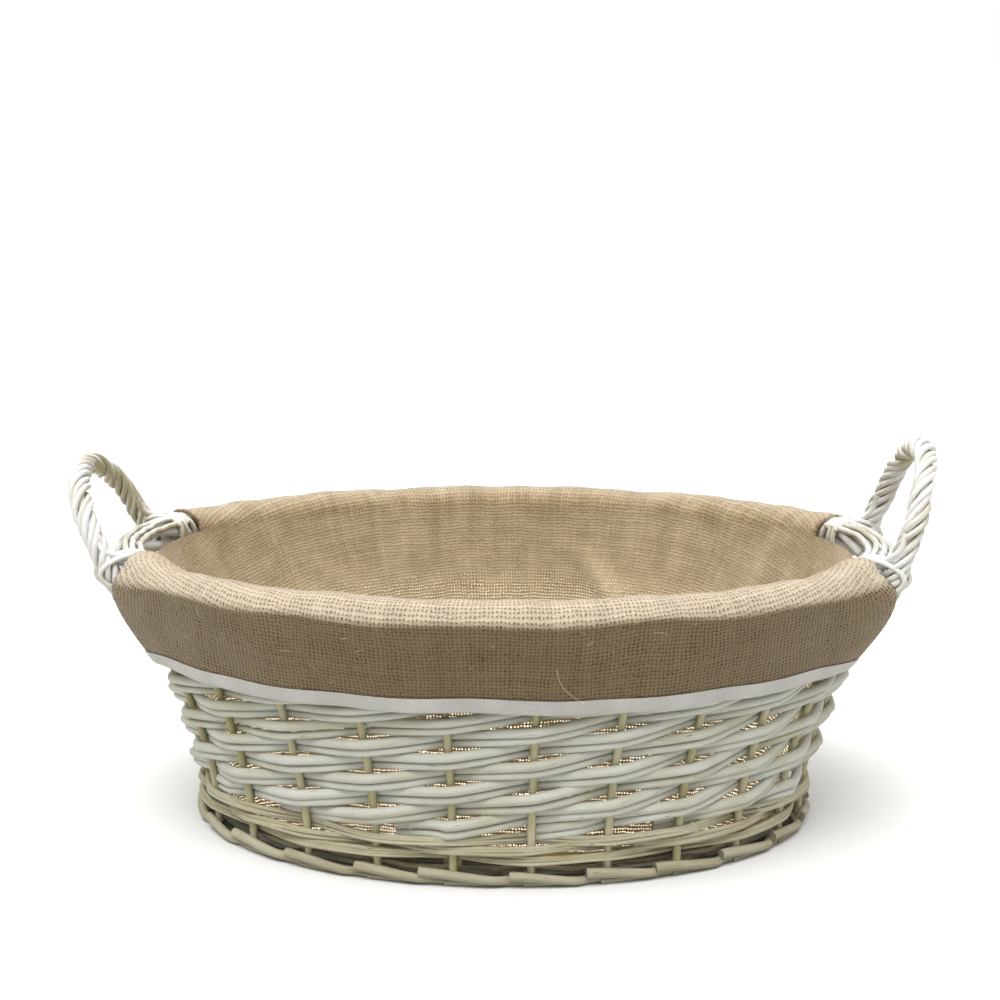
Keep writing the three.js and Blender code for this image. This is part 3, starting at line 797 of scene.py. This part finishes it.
def turn_in(grid, skin, up, angles, low):
    """Adds a narrow strip at both ends of a cuff's patch, turned in towards the border."""
    core = on_wall(angles, RIM_Z, BORDER_OUT)
    for edge, place in ((0, 0), (-1, grid.shape[1])):
        inwards = core[edge] - grid[:, edge]
        inwards[:, 2] = np.clip(inwards[:, 2], -1, 0) * (up[:, edge] < ROLL_LENGTH + 1 * MM)
        inwards /= np.linalg.norm(inwards, axis=1)[:, None] + 1e-9
        tucked = grid[:, edge] + TURNED_IN * inwards
        tucked[0] = grid[0, edge] if low == 0 else tucked[0]
        grid = np.insert(grid, place, tucked, axis=1)
        skin = np.insert(skin, place, skin[:, edge] + (TURNED_IN, 0), axis=1)
        up = np.insert(up, place, up[:, edge], axis=1)
    return grid, skin, up


patches = []
for half in (-math.pi, 0):
    patches.append(cloth_grid(liner_wall_point, half + np.linspace(0, math.pi, COLUMNS // 2 + 1),
                              np.linspace(0, 1, WALL_ROWS), -WALL_LENGTH, 0))
cuff_spans = [(-180 + CUFF_START, -CUFF_START), (CUFF_START, 180 - CUFF_START)]
cuff_parts = ((liner_roll_point, 21, 0, ROLL_LENGTH),
              (liner_hang_point, 15, ROLL_LENGTH, ROLL_LENGTH + HANG_LENGTH))
for first, last in cuff_spans:
    step = 360 / COLUMNS
    between = np.arange(math.ceil(first / step + 0.2), math.floor(last / step - 0.2) + 1) * step
    angles = np.radians(np.concatenate([[first], between, [last]]))
    for point_at, rows, low, high in cuff_parts:
        grid, skin, up = cloth_grid(point_at, angles, np.linspace(0, 1, rows), low, high)
        patches.append(turn_in(grid, skin, up, angles, low))
liner = sew("liner_cloth", patches)


def hessian(name):
    """Open plain-woven jute: golden-brown threads of uneven thickness over and under each other,
    square holes with a little fluff across them, and light coming through both. Painted shade
    darkens the hollows between threads, the holes over the border and the hanging cuffs; the top
    of the roll is painted paler as painted light, and the holes in the wall glow with painted light."""
    material, tree, shader, output = new_material(name)

    sum_up = arithmetic(tree)

    def mask(start, end, most=1.0):
        """Rises from 0 to most between two heights up the cloth."""
        return add_node(tree, "ShaderNodeMapRange", {
            "Value": up_cloth, "From Min": start, "From Max": end, "To Max": most}).outputs[0]

    skin = add_node(tree, "ShaderNodeUVMap", uv_map="cloth_skin").outputs[0]
    up_cloth = add_node(tree, "ShaderNodeAttribute", attribute_name="up_cloth").outputs["Fac"]
    count = add_node(tree, "ShaderNodeVectorMath", {0: skin, "Scale": 1 / THREAD_PITCH},
                     operation="SCALE").outputs[0]
    for fineness, detail, size in ((140, 2, 0.7), (26, 1, 2.2), (420, 1, 0.75)):
        drift = add_node(tree, "ShaderNodeTexNoise", {"Vector": skin, "Scale": fineness, "Detail": detail})
        sway = add_node(tree, "ShaderNodeVectorMath", {
            0: drift.outputs["Color"], 1: (0.5, 0.5, 0.5)}, operation="SUBTRACT").outputs[0]
        sway = add_node(tree, "ShaderNodeVectorMath", {0: sway, "Scale": size}, operation="SCALE").outputs[0]
        count = add_node(tree, "ShaderNodeVectorMath", {0: count, 1: sway}, operation="ADD").outputs[0]
    axes = add_node(tree, "ShaderNodeSeparateXYZ", {0: count})
    across, up = axes.outputs[0], axes.outputs[1]

    def thread(position, other):
        """Height of the threads whose middles lie at whole numbers of position, each with its
        own thickness, and their number."""
        number = sum_up("ROUND", position)
        apart = sum_up("ABSOLUTE", sum_up("SUBTRACT", position, number))
        own = add_node(tree, "ShaderNodeTexWhiteNoise", {"W": number}, noise_dimensions="1D").outputs[0]
        place = add_node(tree, "ShaderNodeCombineXYZ", {0: number, 1: sum_up("MULTIPLY", other, 0.11)})
        thick = add_node(tree, "ShaderNodeTexNoise", {
            "Vector": place.outputs[0], "Scale": 1.0, "Detail": 2}).outputs[0]
        reach = sum_up("ADD", sum_up("MULTIPLY", thick, 0.36), sum_up("MULTIPLY", own, 0.09))
        reach = sum_up("ADD", reach, 0.13)
        share = sum_up("DIVIDE", apart, reach)
        height = sum_up("SUBTRACT", 1.0, sum_up("MULTIPLY", share, share))
        return height, number, own

    warp, warp_number, warp_own = thread(across, up)
    weft, weft_number, weft_own = thread(up, across)
    turn = sum_up("COSINE", sum_up("MULTIPLY", up, math.pi))
    sign = sum_up("COSINE", sum_up("MULTIPLY", warp_number, math.pi))
    lift = sum_up("MULTIPLY", sum_up("MULTIPLY", turn, sign), 0.45)
    warp_top = sum_up("ADD", warp, lift)
    weft_sign = sum_up("COSINE", sum_up("MULTIPLY", weft_number, math.pi))
    weft_turn = sum_up("COSINE", sum_up("MULTIPLY", across, math.pi))
    weft_lift = sum_up("MULTIPLY", sum_up("MULTIPLY", weft_turn, weft_sign), -0.45)
    weft_top = sum_up("ADD", weft, weft_lift)
    height = sum_up("MAXIMUM", warp_top, weft_top)
    cover = sum_up("MAXIMUM", warp, weft)
    solid = add_node(tree, "ShaderNodeMapRange", {
        "Value": cover, "From Min": -0.12, "From Max": 0.14}, interpolation_type="SMOOTHSTEP").outputs[0]
    blotch = add_node(tree, "ShaderNodeTexNoise", {"Vector": skin, "Scale": 60, "Detail": 4}).outputs[0]
    fibre = add_node(tree, "ShaderNodeTexNoise", {"Vector": skin, "Scale": 2600, "Detail": 4}).outputs[0]
    own = sum_up("ADD", sum_up("MULTIPLY", warp_own, 0.5), sum_up("MULTIPLY", weft_own, 0.5))
    tone = sum_up("ADD", sum_up("MULTIPLY", own, 0.16), sum_up("MULTIPLY", blotch, 0.44))
    tone = sum_up("ADD", tone, sum_up("MULTIPLY", fibre, 0.4))
    colour = add_node(tree, "ShaderNodeValToRGB", {0: tone})
    ramp = colour.color_ramp
    ramp.elements[0].position = 0.3
    ramp.elements[0].color = (0.30, 0.215, 0.115, 1)
    ramp.elements[1].position = 0.7
    ramp.elements[1].color = (0.64, 0.505, 0.33, 1)
    # Painted shade in the hollows between threads and a painted highlight on the raised threads, multiplied
    # into the colour.
    shadow = add_node(tree, "ShaderNodeMapRange", {
        "Value": height, "From Min": -0.1, "From Max": 0.9, "To Min": 0.3, "To Max": 1.12}).outputs[0]
    inner = mask(2 * MM, -8 * MM)
    low_down = mask(-40 * MM, -95 * MM)
    # Painted light: from the top of the roll on, the colour is mixed towards a pale tone, so the lit top
    # reads paler.
    painted_light_share = mask(6 * MM, 16 * MM, 0.42)
    facing_in = mask(19 * MM, 10 * MM)
    outside = mask(ROLL_LENGTH - 3 * MM, ROLL_LENGTH + 1 * MM)
    painted_light_colour = mix_colours(tree, painted_light_share, colour.outputs[0], (0.70, 0.645, 0.55, 1))
    # Painted shade: the hanging cuff's colour is multiplied by a dark brown.
    painted_hang_shade = mix_colours(tree, outside, painted_light_colour, (0.315, 0.268, 0.183, 1), "MULTIPLY")
    # The painted thread shade is softened most on the inner wall, a little over the roll, and not at all on
    # the hanging cuff.
    soften = sum_up("MULTIPLY_ADD", facing_in, 0.4, sum_up("MULTIPLY_ADD", outside, -0.25, 0.25))
    shadow = sum_up("ADD", sum_up("MULTIPLY", shadow, sum_up("SUBTRACT", 1.0, soften)),
                    sum_up("MULTIPLY", soften, 0.93))
    deep = add_node(tree, "ShaderNodeVectorMath", {0: painted_hang_shade, "Scale": shadow},
                    operation="SCALE").outputs[0]
    tree.links.new(deep, shader.inputs["Base Color"])
    shader.inputs["Roughness"].default_value = 0.85
    shader.inputs["Specular IOR Level"].default_value = 0.15
    shader.inputs["Sheen Weight"].default_value = 0.5
    shader.inputs["Sheen Roughness"].default_value = 0.5
    shader.inputs["Sheen Tint"].default_value = (1, 0.93, 0.82, 1)
    bump = add_node(tree, "ShaderNodeBump", {"Height": height, "Strength": 0.6, "Distance": 0.0006})
    tree.links.new(bump.outputs[0], shader.inputs["Normal"])
    through = add_node(tree, "ShaderNodeBsdfTranslucent", {"Color": (0.34, 0.225, 0.075, 1)})
    threads = add_node(tree, "ShaderNodeMixShader", {0: 0.2, 1: shader.outputs[0], 2: through.outputs[0]})
    clear = add_node(tree, "ShaderNodeBsdfTransparent")
    milky = add_node(tree, "ShaderNodeBsdfTranslucent", {"Color": (0.95, 0.9, 0.8, 1)})
    # Painted shade in the holes over the border and the cuffs: a dark diffuse fill, darkest on the hanging
    # cuff. Inside the wall the holes hold milky translucent fluff instead.
    hole_shade_colour = mix_colours(tree, outside, (0.25, 0.185, 0.11, 1), (0.06, 0.042, 0.02, 1))
    dark = add_node(tree, "ShaderNodeBsdfDiffuse", {"Color": hole_shade_colour})
    over_rim = sum_up("SUBTRACT", 1.0, inner)
    wall_fluff_and_hole_shade = add_node(tree, "ShaderNodeMixShader", {0: over_rim, 1: milky.outputs[0], 2: dark.outputs[0]})
    hole = add_node(tree, "ShaderNodeMixShader", {0: 0.82, 1: clear.outputs[0], 2: wall_fluff_and_hole_shade.outputs[0]})
    # Painted light: the holes in the wall glow with a warm emission, strongest low down.
    glow = sum_up("MULTIPLY_ADD", low_down, 2.6, 0.4)
    glow = sum_up("MULTIPLY", glow, inner)
    light = add_node(tree, "ShaderNodeEmission", {"Color": (1, 0.9, 0.68, 1), "Strength": glow})
    hole = add_node(tree, "ShaderNodeAddShader", {0: hole.outputs[0], 1: light.outputs[0]})
    mix = add_node(tree, "ShaderNodeMixShader", {0: solid, 1: hole.outputs[0], 2: threads.outputs[0]})
    tree.links.new(mix.outputs[0], output.inputs["Surface"])
    return material


jute = hessian("hessian")
finish_piece(liner, jute, "liner", "hessian", "liner_wall", "cuff_front", "cuff_back")

panel_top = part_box("liner_floor")[1].z
angle, share = np.meshgrid(np.linspace(0, math.tau, 145), np.linspace(0, 1, 27))
spread = on_wall(angle, LINER_FOOT, LINER_OUT)
spread = spread * share[..., None]
spread[..., 2] = panel_top - 0.3 * MM + 0.8 * MM * share ** 6
spread[..., 2] += 0.5 * MM * np.sin(38 * spread[..., 0]) * np.cos(45 * spread[..., 1] + 1) * (1 - share ** 4)
bottom = sew("liner_bottom", [(spread, spread[..., :2], -WALL_LENGTH)])
finish_piece(bottom, jute, "liner", "hessian", "liner_floor")


# -------------------------------- hem tapes
# Off-white cotton twill tape, folded over the lower edge of each cuff. It hides the raw edge of
# the hessian, and follows the cuff's small waves.
TAPE_UP = 4.0 * MM                   # how far the tape reaches above the edge of the hessian
TAPE_DOWN = 5.4 * MM
TAPE_THICK = 0.8 * MM
TAPE_WIDTH = 18.5 * MM               # laid flat


def tape_point(angle, share):
    """Across the folded tape: share 0 is its upper edge in front, 0.5 its fold, 1 inside."""
    cuff = liner_hang_point(angle, 1 + 0 * angle)
    above = liner_hang_point(angle, 0.9 + 0 * angle)
    fall = cuff - above
    fall = fall / np.linalg.norm(fall, axis=-1)[..., None]
    outward = np.stack([np.cos(angle), np.sin(angle), 0 * angle], -1)
    down = (TAPE_UP + TAPE_DOWN) * (1 - np.abs(2 * share - 1) ** 2.2) - TAPE_UP
    side = TAPE_THICK * np.cos(math.pi * share)
    side = side + 0.12 * MM * ripple(angle, (61, 83, 97), 19)
    return cuff + fall * down[..., None] + outward * side[..., None]


def cotton(name):
    """Cotton twill: fine slanting ribs with slubs, greyish off-white, matt."""
    material, tree, shader, _ = new_material(name)
    skin = add_node(tree, "ShaderNodeUVMap", uv_map="cloth_skin").outputs[0]
    slant = add_node(tree, "ShaderNodeMapping", {"Vector": skin, "Rotation": (0, 0, math.radians(35))})
    ribs = add_node(tree, "ShaderNodeTexWave", {
        "Vector": slant.outputs[0], "Scale": 420, "Distortion": 4, "Detail": 2, "Detail Scale": 2})
    slub = add_node(tree, "ShaderNodeTexNoise", {"Vector": skin, "Scale": 900, "Detail": 4}).outputs[0]
    stain = add_node(tree, "ShaderNodeTexNoise", {"Vector": skin, "Scale": 45, "Detail": 3}).outputs[0]
    sum_up = arithmetic(tree)
    tone = sum_up("ADD", sum_up("MULTIPLY_ADD", ribs.outputs["Fac"], 0.3, slub), stain)
    colour = add_node(tree, "ShaderNodeMapRange", {
        "Value": tone, "From Min": 0.65, "From Max": 1.6}).outputs[0]
    ramp = add_node(tree, "ShaderNodeValToRGB", {0: colour})
    ramp.color_ramp.elements[0].color = (0.33, 0.32, 0.29, 1)
    ramp.color_ramp.elements[1].color = (0.515, 0.51, 0.485, 1)
    tree.links.new(ramp.outputs[0], shader.inputs["Base Color"])
    shader.inputs["Roughness"].default_value = 0.9
    shader.inputs["Sheen Weight"].default_value = 0.2
    bump = add_node(tree, "ShaderNodeBump", {"Height": tone, "Strength": 0.5, "Distance": 0.0002})
    tree.links.new(bump.outputs[0], shader.inputs["Normal"])
    return material


twill = cotton("cotton_twill")
for side, (first, last) in zip(("front", "back"), cuff_spans):
    angles = np.radians(np.linspace(first + 0.15, last - 0.15, 220))
    folded = cloth_grid(tape_point, angles, np.linspace(0, 1, 15), 0, TAPE_WIDTH)
    tape = sew("hem_tape_" + side + "_cloth", [folded])
    finish_piece(tape, twill, "liner", "cotton_tape", "hem_tape_" + side)


# -------------------------------- loose fibres
# Hairs of jute that stand out of the hessian, mostly on the front cuff and along the rim. One
# long curved hair hangs down the front cuff, right of the middle.
HAIRS = 60
hairs = []
for i in range(HAIRS):
    side = -90 if i % 3 else 90
    angle = math.radians(side + chance.uniform(-58, 58))
    share = chance.random() ** 1.5
    start = liner_hang_point(np.array([angle]), np.array([share]))[0]
    if i % 2:
        start = liner_roll_point(np.array([angle]), np.array([0.35 + 0.6 * share]))[0]
    outward = np.array([math.cos(angle), math.sin(angle), 0.25])
    along = np.array([-math.sin(angle), math.cos(angle), 0]) * chance.choice([-1, 1])
    length = chance.uniform(3, 9) * MM
    t = np.linspace(0, 1, 9)[:, None]
    drop = np.array([0, 0, chance.uniform(-0.6, 0.9)])
    line = start + length * (t * (along * chance.uniform(0.2, 1) + drop * t)
                             + outward * 0.35 * np.sin(math.pi * t * chance.uniform(0.6, 1)))
    hairs.append((line, 0.06 * MM, chance.random()))
angle = np.radians(np.linspace(-81.5, -76.8, 14) - 1.2 * np.sin(np.linspace(0, 3.1, 14)))
share = np.linspace(0.42, 0.98, 14)
line = liner_hang_point(angle, share ** 0.8)
line += 1.1 * MM * np.stack([np.cos(angle), np.sin(angle), 0 * angle], -1)
hairs.append((line, 0.09 * MM, 0.9))
fibres = weave_rods("loose_fibres", hairs, faces=4)
straw, tree, shader, _ = new_material("jute_hair")
skin = add_node(tree, "ShaderNodeUVMap", uv_map="rod_skin").outputs[0]
speck = add_node(tree, "ShaderNodeTexNoise", {"Vector": skin, "Scale": 900, "Detail": 2}).outputs[0]
ramp = add_node(tree, "ShaderNodeValToRGB", {0: speck})
ramp.color_ramp.elements[0].color = (0.55, 0.45, 0.3, 1)
ramp.color_ramp.elements[1].color = (0.9, 0.82, 0.66, 1)
tree.links.new(ramp.outputs[0], shader.inputs["Base Color"])
shader.inputs["Roughness"].default_value = 0.6
finish_piece(fibres, straw, "liner", "hessian")
